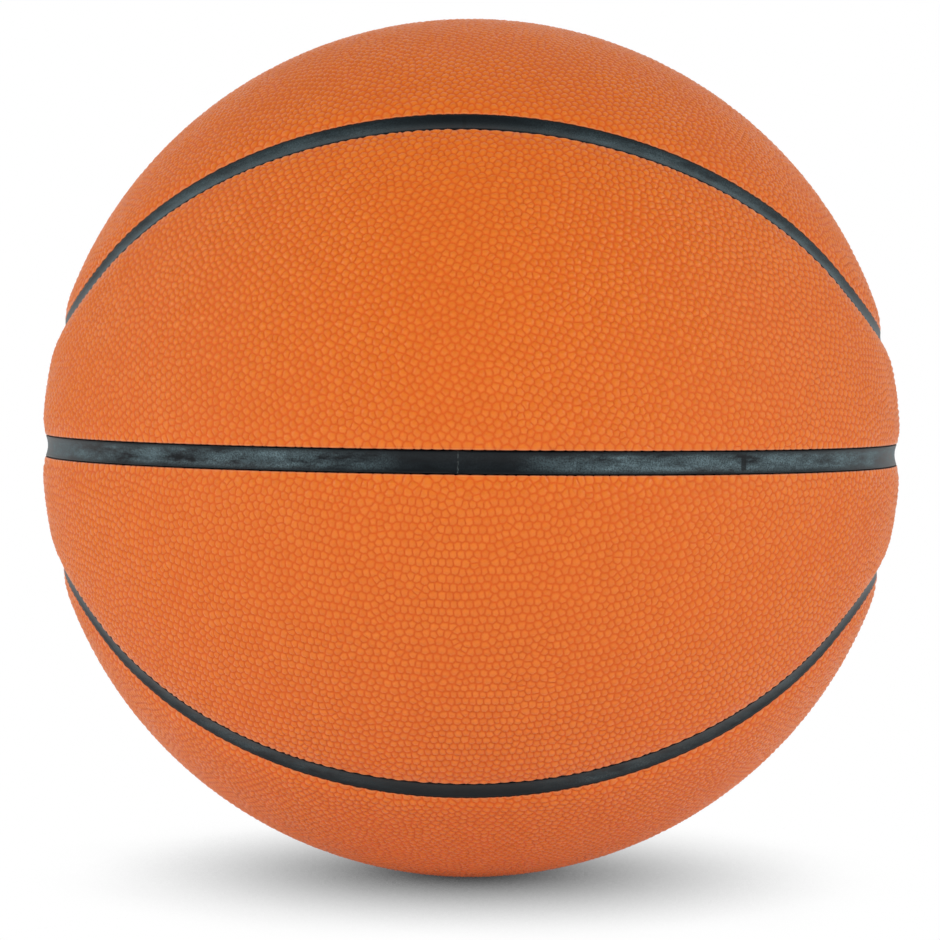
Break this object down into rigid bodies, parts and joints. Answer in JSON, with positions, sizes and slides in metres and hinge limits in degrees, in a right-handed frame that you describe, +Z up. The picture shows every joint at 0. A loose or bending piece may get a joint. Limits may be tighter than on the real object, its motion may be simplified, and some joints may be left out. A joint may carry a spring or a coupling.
{
  "type": "basketball",
  "caption": "Inflatable basketball with a pebbled leather cover in panels, dark rubber seam channels, and a wound, rubber-coated bladder with a needle valve inside.",
  "frame": {"origin": "centre of the ball", "axes": "+Z up, square to the plane of the middle seam; +Y out through the valve, which is on the side away from the picture's camera"},
  "size_m": [0.242, 0.2424, 0.2424],
  "materials": {
    "cover_leather": "pebbled composite leather, satin",
    "carcass_rubber": "moulded black rubber, satin",
    "butyl_rubber": "matte butyl rubber",
    "nylon_thread": "wound nylon thread",
    "boot_rubber": "moulded rubber, matte",
    "plug_rubber": "soft rubber, satin"
  },
  "bodies": {
    "ball": {"bladder": "butyl_rubber", "winding": "nylon_thread", "valve_boot": "boot_rubber", "carcass": "carcass_rubber", "front_upper_panel": "cover_leather", "back_upper_panel": "cover_leather", "front_lower_panel": "cover_leather", "back_lower_panel": "cover_leather", "front_top_cap": "cover_leather", "back_top_cap": "cover_leather", "front_bottom_cap": "cover_leather", "back_bottom_cap": "cover_leather"},
    "plug": {"valve_plug": "plug_rubber"}
  },
  "joints": [
    {"name": "plug_pull", "type": "slide", "parent": "ball", "child": "plug", "axis": [0, 1, 0], "range_m": [0, 0.02]}
  ]
}
